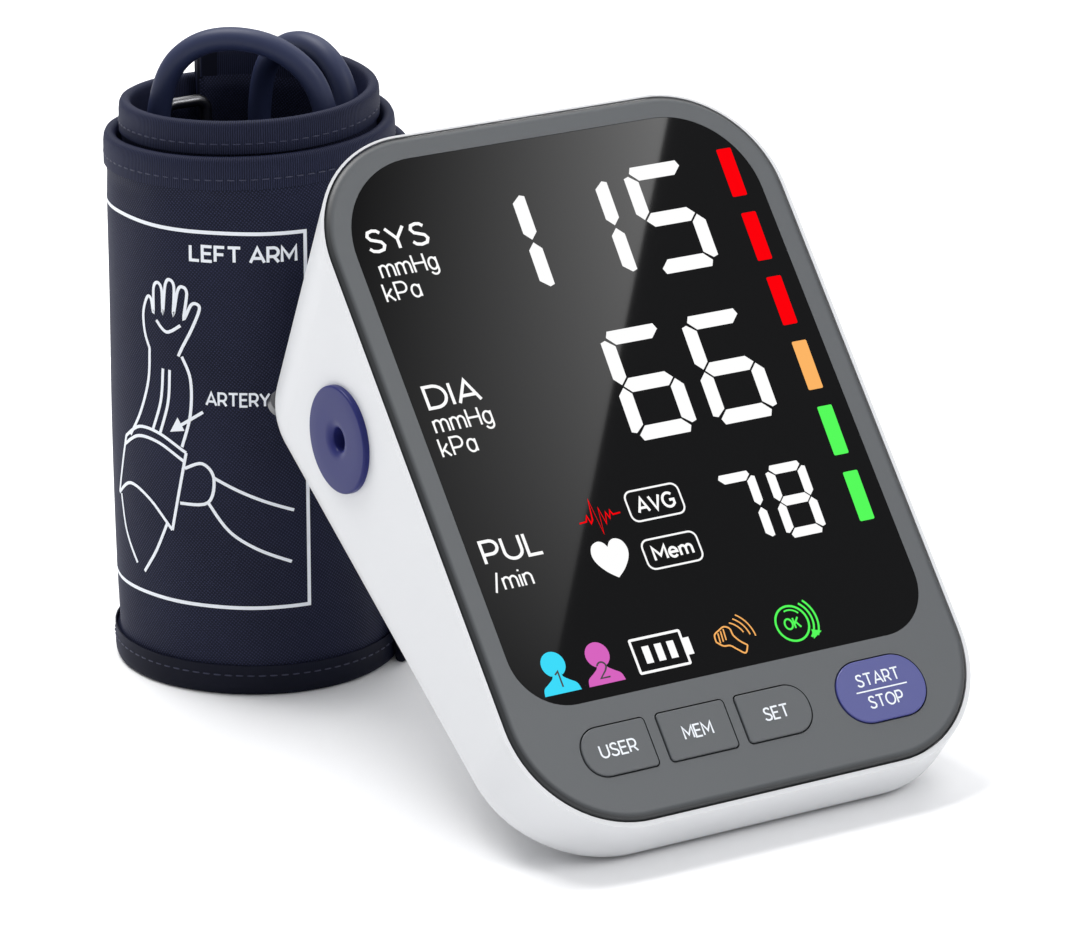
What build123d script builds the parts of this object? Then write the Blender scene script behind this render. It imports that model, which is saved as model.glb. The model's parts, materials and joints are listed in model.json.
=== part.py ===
from build123d import *
import math
import os

# Upper arm blood pressure monitor: a desk unit with a large display, tipped back on its front edge
# against its own rolled arm cuff. Millimetres, +Z up, floor at z = 0, the unit's display side faces -Y.
# The unit is drawn in its own panel frame: x to the right, y up the panel, z out of the panel.
# The cuff is drawn about its own upright axis.

# ---------------------------------------------------------------- driving dimensions
BEZEL_W, BEZEL_H, BEZEL_T = 112.0, 156.0, 3.0    # grey front panel
BEZEL_CORNER, BEZEL_ROUND = 25.0, 1.8            # plan corners, and the roll of the face into the rim
CASE_RIM = 1.1                                   # white rim round the bezel
RIM_DROP = 0.9                                   # rim lies this far below the panel's face
WALL = 2.2
PANEL_TILT = 49.9                                # panel's slope above the floor
FOOT_ANGLE = 16.3                                # panel against the unit's underside
FOOT_DEPTH = 41.3                                # underside below the panel, at the panel's middle
REAR_DRAFT, FRONT_DRAFT = 25.5, 12.0             # end walls against the panel's normal
FOOT_ROUND = 8.5                                 # rounding all round the underside
FIT, THREAD_FIT = 0.2, 0.05                      # gaps round parts of one body
PLAY = 0.3                                       # gap round a part that moves

GLASS_MARGIN, GLASS_TOP, GLASS_BOTTOM = 5.6, 5.3, 26.8
GLASS_R_TOP, GLASS_R_BOTTOM, GLASS_T = 20.0, 12.0, 1.5
VIEW_BORDER = 5.0                                # glass glued on this ledge of the bezel
LCD_T, LCD_BORDER, LCD_CORNER = 2.8, 1.5, 14.0   # display behind the ledge
FRAME_WALL = 1.6
PCB_FACE, PCB_T = 9.0, 1.6                       # depth of the board's front face
PCB_W, PCB_TOP, PCB_BOTTOM, PCB_CORNER = 104.0, 66.0, -70.0, 22.0

KEY_Y = -62.3
KEY_H, START_H = 10.6, 13.7
KEYS = {"user_button": (-33.4, 16.4), "mem_button": (-14.0, 16.4), "set_button": (5.4, 16.8)}
START_X, START_W = 31.9, 21.7
KEY_PROUD, KEY_TRAVEL, KEY_FLANGE = 0.3, 0.8, 1.2
KEY_CORNER, KEY_END_FLAT, KEY_EDGE = 0.9, 0.4, 0.25
KEY_FLANGE_T, KEY_STEM_R = 1.0, 1.5
SWITCH_TOP, SWITCH_W, SWITCH_R = 5.5, 6.0, 1.7   # depth of the plungers, body and plunger sizes

SCREW_POSTS = [(x, y) for x in (-51.8, 51.8) for y in (-44.0, 42.0)]
POST_R, BOSS_R, BOSS_END = 4.0, 3.0, 14.0
SCREW_R, SCREW_HEAD_R, SCREW_HEAD_T = 1.15, 2.8, 1.8
SCREW_SUNK, SCREW_GRIP, SCREW_HOLE = 5.0, 8.0, 9.0   # head below the underside, thread and hole in the boss
PAD_SPOTS = [(x, y) for x in (-42.0, 42.0) for y in (-62.0, 26.0)]
PAD_R, PAD_T = 5.0, 1.2

BAY_Y = 6.0                                      # battery bay's middle on the panel's y axis
BAY_W, BAY_L, BAY_D = 62.0, 61.0, 18.2
BAY_WALL = 1.4
DOOR_T, DOOR_GAP, DOOR_LIP = 2.0, 0.4, 1.0       # the door overlaps the bay by its lip
GRIP_W, GRIP_T, GRIP_PITCH, GRIP_Y = 26.0, 1.0, 2.4, -22.0
CELL_R, CELL_L, CELL_PITCH = 7.2, 49.2, 14.8
NUB_R, NUB_L = 2.7, 1.3
PLATE_W, PLATE_T, BUTTON_R = 10.0, 0.5, 2.2      # contact plates, and the button under a cell's nub
SPRING_R, SPRING_WIRE, SPRING_TURNS = 3.4, 0.35, 3.5

JACK_Y, JACK_DEPTH = 21.5, 20.7
JACK_R, JACK_NECK_R, JACK_T, JACK_EDGE = 11.5, 7.8, 1.4, 0.5
JACK_BORE_R, JACK_BORE_L = 2.5, 13.0
JACK_BODY_L, AIRWAY_R = 14.0, 0.8
NUT_R, NUT_T = 11.0, 3.0
SPIGOT_R, SPIGOT_L = 1.6, 5.0                    # barbs that the inner tubes push onto
SIDE_SPIGOT = 9.0                                # the jack's second barb, behind the wall

PUMP_Y, PUMP_DEPTH, PUMP_R = 50.0, 24.0, 11.8
MOTOR_L, HEAD_L = 31.0, 26.0
HEAD_BORE_R, HEAD_BORE_L = 8.5, 14.0             # room for the crank
SHAFT_R, SHAFT_CLEAR, CRANK_R, CRANK_THROW = 1.0, 0.05, 4.5, 1.2
CLAMP_X, CLAMP_W, CLAMP_T = 16.0, 8.0, 1.4
TUBE_R = 2.3
PUMP_SPIGOT_X = -20.0
VALVE_X, VALVE_Y, VALVE_L, VALVE_W, VALVE_H = -30.0, -41.0, 20.0, 13.0, 10.0
VALVE_BORE_R, PLUNGER_R, FLANGE_R, FLANGE_T = 2.06, 2.0, 3.6, 1.6
VALVE_SPIGOT = 6.0                               # barb's place behind the valve's middle
SENSOR_X, SENSOR_Y, SENSOR_W, SENSOR_T = 4.0, -42.0, 9.0, 4.0
BUZZER_X, BUZZER_Y, BUZZER_R, BUZZER_T = 28.0, -41.0, 6.0, 5.5

CUFF_R, CUFF_T, CUFF_PITCH = 33.6, 2.2, 3.4      # outside radius, band thickness, radius lost per turn
CUFF_END_ANGLE, CUFF_SWEEP = -50.0, 860.0        # outer end of the roll, total wrap
CUFF_H, CUFF_STEP = 118.5, 3.5                   # height of the outer half turn, rise per half turn
CUFF_X = -34.2                                   # from the unit's centre plane
CUFF_GAP = 0.4                                   # unit to cuff
BINDING_H, BINDING_T = 7.0, 0.3
BLADDER_T, BLADDER_EDGE = 0.8, 12.0              # bladder, and its distance from the cuff's edges
BLADDER_START, BLADDER_END = 30.0, 20.0          # degrees of wrap without a bladder at either end
PATCH_T, PATCH_START, PATCH_ARC, PATCH_LOW, PATCH_HIGH = 0.5, 8.0, 70.0, 20.0, 98.0
BAR_R, BAR_W, BAR_H, BAR_Y = 1.3, 13.0, 112.0, 22.3
BAR_X, BAR_LOW, BAR_BEND, BAR_LOOP = -0.4, 10.0, 2.5, 1.4   # near side, foot, corner radius, cloth round it

HOSE_D = 5.2
# Hose route about the cuff's axis: up from the port, over in the tall arch, down, round the foot of the
# roll, up, over in the low arch and down to the plug.
HOSE_ROUTE = [
    (-19.2, 9.5, 30.0), (-20.2, 9.2, 62.0), (-19.8, 10.4, 101.0), (-19.2, 9.5, 131.5),
    (-12.4, 2.0, 142.3), (-0.8, -10.8, 142.3), (7.2, -19.6, 131.5), (6.8, -20.0, 103.0),
    (6.2, -19.6, 75.0), (6.8, -20.0, 46.0), (7.2, -19.4, 16.8), (8.0, -9.0, 6.0),
    (9.2, 6.4, 6.0), (10.0, 17.4, 16.8), (10.5, 16.8, 45.0), (9.8, 17.8, 72.0),
    (10.5, 17.2, 98.0), (10.0, 17.4, 121.9), (11.8, 6.8, 132.0), (14.2, -6.2, 132.0),
    (15.8, -14.4, 121.9), (15.6, -13.8, 95.0), (14.6, -13.0, 69.0),
]
PORT_R, PORT_RISE, PORT_STEM = 3.4, 8.0, 7.6     # elbow on the bladder: radius, height and reach
WELD_R, WELD_T = 6.5, 2.6
PLUG_R, PLUG_L, PLUG_TIP_R, PLUG_TIP_L = 4.1, 16.0, 2.45, 12.0
PLUG_RING, PLUG_RING_Z = 0.3, (10.0, 13.0)       # raised grip ring

# ---------------------------------------------------------------- derived
CASE_W = BEZEL_W + 2 * CASE_RIM
CASE_H = BEZEL_H + 2 * CASE_RIM
GLASS_W = BEZEL_W - 2 * GLASS_MARGIN
GLASS_H = BEZEL_H - GLASS_TOP - GLASS_BOTTOM
GLASS_Y = (GLASS_BOTTOM - GLASS_TOP) / 2
VIEW_W, VIEW_H = GLASS_W - 2 * VIEW_BORDER, GLASS_H - 2 * VIEW_BORDER
LCD_W, LCD_H = VIEW_W + 2 * LCD_BORDER, VIEW_H + 2 * LCD_BORDER
BOARD_BACK = PCB_FACE + PCB_T
TAN_REAR, TAN_FOOT = math.tan(math.radians(REAR_DRAFT)), math.tan(math.radians(FOOT_ANGLE))
TAN_FRONT = math.tan(math.radians(FRONT_DRAFT))
FOOT_NORMAL = Vector(0, -math.sin(math.radians(FOOT_ANGLE)), -math.cos(math.radians(FOOT_ANGLE)))
SCREW_SEATS = {(x, y): min(SCREW_SUNK - FOOT_DEPTH - y * TAN_FOOT, -BOSS_END - 3.0) for x, y in SCREW_POSTS}
CELL_DEPTH = -DOOR_T - DOOR_GAP - PLAY - CELL_R  # cells' axes below the underside
HALF_TURN = 180.0
BIG = 400.0                                      # longer than any part
REACH = 60.0                                     # beyond the roll of the cuff


def slab(w, h, z0, z1, r=0.0, x=0.0, y=0.0):
    """A plate parallel to the panel, from depth z0 up to z1, with rounded corners."""
    outline = RectangleRounded(w, h, r) if r else Rectangle(w, h)
    return Pos(x, y, z0) * extrude(outline, z1 - z0)


def post(r, z0, z1, x=0.0, y=0.0):
    return Pos(x, y, z0) * Cylinder(r, z1 - z0, align=(Align.CENTER, Align.CENTER, Align.MIN))


def group(*solids):
    return Compound(children=[s.solid() if len(s.solids()) == 1 else s for s in solids])


# ---------------------------------------------------------------- the unit's frames
def foot_point(y):
    """Point of the underside on the unit's centre plane."""
    return Vector(0, y, -(FOOT_DEPTH + y * TAN_FOOT))


FOOT = Plane(origin=foot_point(BAY_Y), x_dir=(-1, 0, 0), z_dir=FOOT_NORMAL)
JACK = Plane(origin=(-CASE_W / 2, JACK_Y, -JACK_DEPTH), x_dir=(0, 1, 0), z_dir=(-1, 0, 0))
PUMP = Plane(origin=(0, PUMP_Y, -PUMP_DEPTH), x_dir=(0, 1, 0), z_dir=(1, 0, 0))


# ---------------------------------------------------------------- housing
def case_form(inset=0.0):
    """The wedge-shaped housing, solid. With an inset it is the cavity."""
    top = CASE_H / 2 - inset / math.cos(math.radians(REAR_DRAFT))
    front = CASE_H / 2 - inset / math.cos(math.radians(FRONT_DRAFT))
    depth = FOOT_DEPTH - inset / math.cos(math.radians(FOOT_ANGLE))
    rear_y = (top - depth * TAN_REAR) / (1 + TAN_REAR * TAN_FOOT)
    lip = (depth - front * TAN_FOOT) / (1 + TAN_FOOT * TAN_FRONT)
    side = Polyline(
        (top, 0), (rear_y, -(depth + rear_y * TAN_FOOT)), (-front - lip * TAN_FRONT, -lip), (-front, 0), close=True
    )
    form = extrude(Plane.YZ * make_face(side), CASE_W / 2 - inset, both=True)
    corner = BEZEL_CORNER + CASE_RIM - inset
    for end, draft in ((top, REAR_DRAFT), (-front, FRONT_DRAFT)):
        outline = RectangleRounded(CASE_W - 2 * inset, BIG, corner)
        lean = (0, -math.sin(math.radians(draft)), -math.cos(math.radians(draft)))
        shift = end - math.copysign(BIG / 2, end)
        form &= extrude(Pos(0, shift, 0) * outline, BIG / 3, dir=lean)
    under = [f for f in form.faces() if f.normal_at().dot(FOOT_NORMAL) > 0.999][0]
    return fillet(under.edges(), FOOT_ROUND - inset)


def back_case(cavity):
    case = case_form() - cavity
    case -= slab(BEZEL_W + 2 * FIT, BEZEL_H + 2 * FIT, -BEZEL_T, 5, BEZEL_CORNER + FIT)
    case -= slab(BIG, BIG, -RIM_DROP, 5)
    bay = slab(BAY_W + 2 * BAY_WALL, BAY_L + 2 * BAY_WALL, -BAY_D - BAY_WALL, -WALL / 2)
    case += FOOT * bay
    for x, y in SCREW_POSTS:
        case += post(POST_R, -BIG / 4, -BOSS_END, x, y) & case_form()
    case -= FOOT * slab(BAY_W, BAY_L, -BAY_D, 1)
    case -= FOOT * slab(BAY_W + 2 * DOOR_LIP, BAY_L + 4 * DOOR_LIP + 2 * DOOR_GAP, -DOOR_T - DOOR_GAP, 1)
    case -= JACK * post(JACK_NECK_R + THREAD_FIT, -WALL - 1, 1)
    for (x, y), seat in SCREW_SEATS.items():
        case -= post(SCREW_R + FIT, -BIG / 4, 0, x, y)
        case -= post(SCREW_HEAD_R + PLAY, -BIG / 4, seat, x, y)
    return case


def glass_outline(grow=0.0):
    outline = Rectangle(GLASS_W + 2 * grow, GLASS_H + 2 * grow)
    outline = fillet(outline.vertices().group_by(Axis.Y)[-1], GLASS_R_TOP + grow)
    outline = fillet(outline.vertices().group_by(Axis.Y)[0], GLASS_R_BOTTOM + grow)
    return Pos(0, GLASS_Y, 0) * outline


def key_outline(name, grow=0.0):
    """A key's face: the outer two of the row of three have one round end, the start key has two."""
    if name == "start_button":
        return Pos(START_X, KEY_Y, 0) * SlotOverall(START_W + 2 * grow, START_H + 2 * grow)
    x, w = KEYS[name]
    face = Rectangle(w + 2 * grow, KEY_H + 2 * grow)
    ends = {"user_button": 0, "set_button": -1}
    for side in (0, -1):
        round_end = ends.get(name) == side
        radius = (KEY_H / 2 - KEY_END_FLAT if round_end else KEY_CORNER) + grow
        face = fillet(face.vertices().group_by(Axis.X)[side], radius)
    return Pos(x, KEY_Y, 0) * face


KEY_NAMES = [*KEYS, "start_button"]


def key_cap(name):
    cap = Pos(0, 0, -BEZEL_T - PLAY) * extrude(key_outline(name), BEZEL_T + PLAY + KEY_PROUD)
    cap = fillet(cap.faces().sort_by(Axis.Z)[-1].edges(), KEY_EDGE)
    cap += Pos(0, 0, -BEZEL_T - PLAY - KEY_FLANGE_T) * extrude(key_outline(name, KEY_FLANGE), KEY_FLANGE_T)
    x = START_X if name == "start_button" else KEYS[name][0]
    return cap + post(KEY_STEM_R, -SWITCH_TOP + KEY_TRAVEL + FIT / 2, -BEZEL_T, x, KEY_Y)


def front_bezel():
    bezel = slab(BEZEL_W, BEZEL_H, -BEZEL_T, 0, BEZEL_CORNER)
    bezel = fillet(bezel.faces().sort_by(Axis.Z)[-1].edges(), BEZEL_ROUND)
    for x, y in SCREW_POSTS:
        bezel += post(BOSS_R, -BOSS_END, -BEZEL_T, x, y) - post(SCREW_R, -BOSS_END, -BOSS_END + SCREW_HOLE, x, y)
    bezel -= Pos(0, 0, -GLASS_T) * extrude(glass_outline(FIT / 2), GLASS_T + 1)
    bezel -= slab(VIEW_W, VIEW_H, -2 * BEZEL_T, 0, LCD_CORNER - LCD_BORDER, 0, GLASS_Y)
    for name in KEY_NAMES:
        bezel -= Pos(0, 0, -2 * BEZEL_T) * extrude(key_outline(name, PLAY), 4 * BEZEL_T)
    return bezel


def display_window():
    return Pos(0, 0, -GLASS_T) * extrude(glass_outline(), GLASS_T)


def lcd_panel():
    return slab(LCD_W, LCD_H, -BEZEL_T - LCD_T, -BEZEL_T, LCD_CORNER, 0, GLASS_Y)


def backlight():
    return slab(LCD_W, LCD_H, -PCB_FACE, -BEZEL_T - LCD_T, LCD_CORNER, 0, GLASS_Y)


def display_frame():
    """Light-tight frame that holds the display and its backlight off the board."""
    around = FIT + 2 * FRAME_WALL
    ring = slab(LCD_W + around, LCD_H + around, -PCB_FACE, -BEZEL_T, LCD_CORNER + around / 2, 0, GLASS_Y)
    return ring - slab(LCD_W + FIT, LCD_H + FIT, -BIG, BIG, LCD_CORNER + FIT / 2, 0, GLASS_Y)


def main_board():
    height = PCB_TOP - PCB_BOTTOM
    board = slab(PCB_W, height, -BOARD_BACK, -PCB_FACE, PCB_CORNER, 0, (PCB_TOP + PCB_BOTTOM) / 2)
    for x, y in SCREW_POSTS:
        board -= post(BOSS_R + FIT, -BIG, BIG, x, y)
    return board


def key_switches():
    switches = []
    for x in [KEYS[n][0] for n in KEYS] + [START_X]:
        body = slab(SWITCH_W, SWITCH_W, -PCB_FACE, -SWITCH_TOP - KEY_TRAVEL, 0.5, x, KEY_Y)
        switches.append(body + post(SWITCH_R, -PCB_FACE, -SWITCH_TOP, x, KEY_Y))
    return group(*switches)


def case_screws():
    screws = []
    slot = Box(3.6, 0.8, 1.6)
    for (x, y), seat in SCREW_SEATS.items():
        head = post(SCREW_HEAD_R, seat - SCREW_HEAD_T, seat, x, y)
        head -= Pos(x, y, seat - SCREW_HEAD_T) * (slot + Rot(0, 0, 90) * slot)
        screws.append(head + post(SCREW_R, seat, -BOSS_END + SCREW_GRIP, x, y))
    return group(*screws)


def rubber_feet():
    return group(*[FOOT * post(PAD_R, 0, PAD_T, x, y) for x, y in PAD_SPOTS])


# ---------------------------------------------------------------- batteries
def battery_door():
    width = BAY_W + 2 * DOOR_LIP - 2 * DOOR_GAP
    door = slab(width, BAY_L + 2 * DOOR_LIP, -DOOR_T, 0)
    door += Pos(0, BAY_L / 2 + DOOR_LIP, -DOOR_T / 2) * Rot(0, 90, 0) * Cylinder(DOOR_T / 2, width)
    for i in range(5):
        door -= Pos(0, GRIP_Y + GRIP_PITCH * i, 0) * Box(GRIP_W, GRIP_T, GRIP_T)
    return FOOT * door


def cell_row(i):
    """Which way a cell points, and its place across the bay."""
    return (1 if i % 2 else -1), (i - 1.5) * CELL_PITCH


def cell(i):
    along, y = cell_row(i)
    can = Cylinder(CELL_R, CELL_L) + Pos(0, 0, (CELL_L + NUB_L) / 2) * Cylinder(NUB_R, NUB_L)
    return FOOT * (Pos(0, y, CELL_DEPTH) * Rot(0, 90 * along, 0) * can)


def contact_spring(i):
    """Coil that presses on a cell's flat end."""
    along, y = cell_row(i)
    rise = BAY_W / 2 - PLATE_T - CELL_L / 2 - 2 * SPRING_WIRE
    coil = Helix(rise / SPRING_TURNS, rise, SPRING_R)
    spring = sweep(Plane(coil @ 0, z_dir=coil % 0) * Circle(SPRING_WIRE), path=coil)
    base = Pos(-along * (BAY_W / 2 - PLATE_T - SPRING_WIRE), y, CELL_DEPTH) * Rot(0, 90 * along, 0)
    return FOOT * (base * spring)


def contact_plates():
    plates = []
    reach = BAY_W / 2 - CELL_L / 2 - NUB_L
    for i in range(4):
        along, y = cell_row(i)
        for side in (-1, 1):
            plate = Pos(side * (BAY_W - PLATE_T) / 2, y, CELL_DEPTH) * Box(PLATE_T, PLATE_W, PLATE_W)
            if side == along:
                button = Rot(0, 90, 0) * Cylinder(BUTTON_R, reach)
                plate += Pos(side * (BAY_W - reach) / 2, y, CELL_DEPTH) * button
            plates.append(FOOT * plate)
    return group(*plates)


# ---------------------------------------------------------------- air system
def air_jack():
    """Disc on the unit's side with the bore that the hose's plug goes into, and two barbs inside."""
    jack = post(JACK_R, 0, JACK_T) + post(JACK_NECK_R, -JACK_BODY_L, 0)
    jack = fillet(jack.edges().filter_by(GeomType.CIRCLE).group_by(Axis.Z)[-1], JACK_EDGE)
    jack += post(SPIGOT_R, -JACK_BODY_L - SPIGOT_L, -JACK_BODY_L + 3)
    jack += Pos(-JACK_NECK_R, 0, -SIDE_SPIGOT) * Rot(0, 90, 0) * Cylinder(SPIGOT_R, 2 * SPIGOT_L)
    jack -= post(JACK_BORE_R, JACK_T - JACK_BORE_L, 2 * JACK_T)
    return JACK * (jack - post(AIRWAY_R, -BIG, 0))


def jack_nut():
    ring = Pos(0, 0, -WALL - NUT_T) * extrude(RegularPolygon(NUT_R, 6), NUT_T)
    return JACK * (ring - post(JACK_NECK_R + THREAD_FIT, -BIG, 0))


def pump_motor():
    can = post(PUMP_R, 0, MOTOR_L) - post(SHAFT_R + SHAFT_CLEAR, 0, 10)
    for side in (-1, 1):                         # solder tabs
        can += Pos(side * PUMP_R / 2, 0, MOTOR_L + 1.5) * Box(2.4, 0.6, 3)
    return PUMP * can


def pump_head():
    head = post(PUMP_R, -HEAD_L, 0) - post(HEAD_BORE_R, -HEAD_BORE_L, 0)
    spigot = Pos(PUMP_SPIGOT_X, PUMP_Y - PUMP_R, -JACK_DEPTH) * Rot(90, 0, 0) * Cylinder(SPIGOT_R, 2 * SPIGOT_L)
    return PUMP * head + spigot


def pump_clamp():
    """Half strap over the motor with a pad that is glued to the back of the board."""
    x0, x1 = CLAMP_X - CLAMP_W / 2, CLAMP_X + CLAMP_W / 2
    strap = PUMP * (post(PUMP_R + CLAMP_T, x0, x1) - post(PUMP_R, 0, BIG))
    upper = Pos(CLAMP_X, PUMP_Y, -PUMP_DEPTH + PUMP_R) * Box(3 * CLAMP_W, 4 * PUMP_R, 2 * PUMP_R)
    pad = Pos(CLAMP_X, PUMP_Y, -PUMP_DEPTH + PUMP_R / 2) * Box(CLAMP_W, PUMP_R, PUMP_R)
    block = Pos(CLAMP_X, PUMP_Y, -BOARD_BACK - CLAMP_T) * Box(CLAMP_W, 14, 2 * CLAMP_T)
    return (strap & upper) + (pad + block - PUMP * post(PUMP_R, -BIG, BIG))


def pump_crank():
    """Motor's shaft end with the offset disc that works the pump head."""
    crank = post(SHAFT_R, -10, 9.5) + Pos(CRANK_THROW, 0, 0) * post(CRANK_R, -10, -6)
    return PUMP * crank


def valve_body():
    middle = -BOARD_BACK - VALVE_H / 2
    body = slab(VALVE_L, VALVE_W, -BOARD_BACK - VALVE_H, -BOARD_BACK, 1, VALVE_X, VALVE_Y)
    bore = Pos(VALVE_X + VALVE_L / 2, VALVE_Y, middle) * Rot(0, 90, 0) * Cylinder(VALVE_BORE_R, 24)
    barb = Rot(90, 0, 0) * Cylinder(SPIGOT_R, 2 * SPIGOT_L)
    spigot = Pos(VALVE_X - VALVE_SPIGOT, VALVE_Y + VALVE_W / 2, middle) * barb
    return body + spigot - bore


def valve_plunger():
    """Armature rod with its flange, 1.7 mm clear of the coil body so that it can be drawn in."""
    end, middle = VALVE_X + VALVE_L / 2, -BOARD_BACK - VALVE_H / 2
    rod = Pos(end - 3.5, VALVE_Y, middle) * Rot(0, 90, 0) * Cylinder(PLUNGER_R, 13)
    return rod + Pos(end + 2.5, VALVE_Y, middle) * Rot(0, 90, 0) * Cylinder(FLANGE_R, FLANGE_T)


def pressure_sensor():
    back = -BOARD_BACK - SENSOR_T
    chip = slab(SENSOR_W, SENSOR_W, back, -BOARD_BACK, 0.5, SENSOR_X, SENSOR_Y)
    return chip + post(SPIGOT_R, back - 4, back, SENSOR_X, SENSOR_Y)


def buzzer():
    back = -BOARD_BACK - BUZZER_T
    return post(BUZZER_R, back, -BOARD_BACK, BUZZER_X, BUZZER_Y) - post(1.0, back - 1, back + 1.5, BUZZER_X, BUZZER_Y)


def tube(points, outer, bore):
    """Soft tube along straight runs joined by arcs."""
    lengths = [(Vector(*a) - Vector(*b)).length for a, b in zip(points, points[1:])]
    radii = []
    for i in range(1, len(points) - 1):
        before, after = Vector(*points[i]) - Vector(*points[i - 1]), Vector(*points[i + 1]) - Vector(*points[i])
        half = math.radians(before.get_angle(after)) / 2
        radii.append(0.45 * min(lengths[i - 1], lengths[i]) / math.tan(half))
    path = FilletPolyline(*points, radius=radii)
    start = Plane(path @ 0, z_dir=path % 0)
    section = Circle(outer) - Circle(bore) if bore else Circle(outer)
    return sweep(start * section, path=path), radii, path


def pump_tube():
    start = (-CASE_W / 2 + JACK_BODY_L, JACK_Y, -JACK_DEPTH)
    bend = (PUMP_SPIGOT_X, JACK_Y, -JACK_DEPTH)
    end = (PUMP_SPIGOT_X, PUMP_Y - PUMP_R - 0.6, -JACK_DEPTH)
    return tube([start, bend, end], TUBE_R, SPIGOT_R + 0.02)[0]


def valve_tube():
    x0, x1, z1 = -CASE_W / 2 + SIDE_SPIGOT, VALVE_X - VALVE_SPIGOT, -BOARD_BACK - VALVE_H / 2
    start, end = (x0, JACK_Y - JACK_NECK_R - 0.1, -JACK_DEPTH), (x1, VALVE_Y + VALVE_W / 2, z1)
    return tube([start, (x0, -4, -JACK_DEPTH), (x1, -18, z1), end], TUBE_R, SPIGOT_R + 0.02)[0]


# ---------------------------------------------------------------- cuff
def half_turns():
    """Centre, outer radius, start angle, end angle and top of each arc of the roll, from outside in."""
    turns, angle, centre, index = [], CUFF_END_ANGLE, Vector(0, 0, 0), 0
    last = CUFF_END_ANGLE + CUFF_SWEEP
    while angle < last - 0.01:
        end = min(angle + HALF_TURN, last)
        turns.append((centre, CUFF_R - CUFF_PITCH / 2 * index, angle, end, CUFF_H + CUFF_STEP * index))
        joint = math.radians(end)
        centre = centre + Vector(math.cos(joint), math.sin(joint), 0) * (CUFF_PITCH / 2)
        angle, index = end, index + 1
    return turns


def sector(start, end):
    """Pie slice about the origin, reaching past the roll."""
    if end - start > HALF_TURN - 1:
        return Rot(0, 0, start) * Pos(0, REACH, 0) * Rectangle(4 * REACH, 2 * REACH)
    from_dir, to_dir = (Vector(1, 0).rotate(Axis.Z, a) * REACH for a in (start, end))
    return Face(Wire([Line((0, 0), from_dir), CenterArc((0, 0), REACH, start, end - start), Line(to_dir, (0, 0))]))


def wrap(t_in, t_out, low, high, skip_start=0.0, skip_end=0.0):
    """The rolled band between depths t_in and t_out below its outer face. Its heights come from low and
    high, given the top of each half turn, and degrees may be left out at either end."""
    solids = []
    turns = half_turns()
    for i, (centre, radius, start, end, top) in enumerate(turns):
        a = start + (skip_start if i == 0 else 0)
        b = end - (skip_end if i == len(turns) - 1 else 0)
        z0, z1 = low(top), high(top)
        ring = post(radius - t_in, z0, z1) - post(radius - t_out, z0 - 1, z1 + 1)
        solids.append(Pos(*centre) * (ring & Pos(0, 0, z0 - 1) * extrude(sector(a, b), z1 - z0 + 2)))
    band = solids[0]
    for s in solids[1:]:
        band += s
    return band


def cuff_sleeve():
    sleeve = wrap(0, CUFF_T, lambda top: 0, lambda top: top)
    loop = post(BAR_R + BAR_LOOP, BAR_LOW + 4, BAR_LOW + BAR_H - 10, BAR_X, BAR_Y)
    return sleeve - bladder_form(0.1) + (loop - post(BAR_R + 0.1, 0, BIG, BAR_X, BAR_Y))


def bladder_form(grow=0.0):
    """The bladder in the middle of the band, or the pocket that it lies in."""
    depth, edge = (CUFF_T - BLADDER_T) / 2, BLADDER_EDGE + 0.1 - grow
    return wrap(
        depth - grow, depth + BLADDER_T + grow, lambda top: edge, lambda top: CUFF_H - edge,
        BLADDER_START + 1 - 10 * grow, BLADDER_END + 1 - 10 * grow
    )


def edge_binding(sleeve, at_top):
    low = (lambda top: top - BINDING_H) if at_top else (lambda top: 0)
    high = (lambda top: top + BINDING_T) if at_top else (lambda top: BINDING_H)
    return wrap(-BINDING_T, CUFF_T + BINDING_T, low, high) - sleeve


def closing_bar():
    """Steel loop at the cuff's inner end, which the free end is drawn through."""
    x0, x1 = BAR_X, BAR_X - (BAR_W - 2 * BAR_R)
    corners = [(x0, BAR_LOW), (x1, BAR_LOW), (x1, BAR_LOW + BAR_H), (x0, BAR_LOW + BAR_H)]
    path = FilletPolyline(*[(x, BAR_Y, z) for x, z in corners], close=True, radius=BAR_BEND)
    return sweep(Plane(path @ 0, z_dir=path % 0) * Circle(BAR_R), path=path)


def patch(outside):
    """Hook tape on the outside of the second wrap, or the loop tape on the inside of the flap over it."""
    centre, radius = half_turns()[2 if outside else 0][:2]
    outer = radius + PATCH_T if outside else radius - CUFF_T
    ring = post(outer, PATCH_LOW, PATCH_HIGH) - post(outer - PATCH_T, 0, BIG)
    start = CUFF_END_ANGLE + PATCH_START
    return Pos(*centre) * (ring & extrude(sector(start, start + PATCH_ARC), BIG))


def hose_port(path):
    """Elbow welded to the bladder's inner face, with the hose pushed on its upright spigot."""
    start, rise = path @ 0, path % 0
    heel = start - rise * PORT_RISE
    across = Vector(start.X, start.Y, 0).normalized()
    stem = post(PORT_R, 0, PORT_STEM) + post(WELD_R, PORT_STEM - WELD_T, PORT_STEM)
    band = wrap(0, CUFF_T, lambda top: 0, lambda top: top)
    elbow = Plane(origin=heel, z_dir=rise) * post(PORT_R, -PORT_R, PORT_RISE)
    return elbow + Plane(origin=heel, z_dir=across) * stem - band


def air_plug(path):
    plug = post(PLUG_R, 0, PLUG_L) + post(PLUG_R + PLUG_RING, *PLUG_RING_Z)
    plug += post(PLUG_TIP_R, PLUG_L, PLUG_L + PLUG_TIP_L)
    return Plane(origin=path @ 1, z_dir=path % 1) * plug


# ---------------------------------------------------------------- assembly
CORD_NODES = ("air_hose", "air_plug", "hose_port")


def span(parts):
    """The box round some parts."""
    return Compound(children=[s for p in parts for s in p.solids()]).bounding_box()


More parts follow.
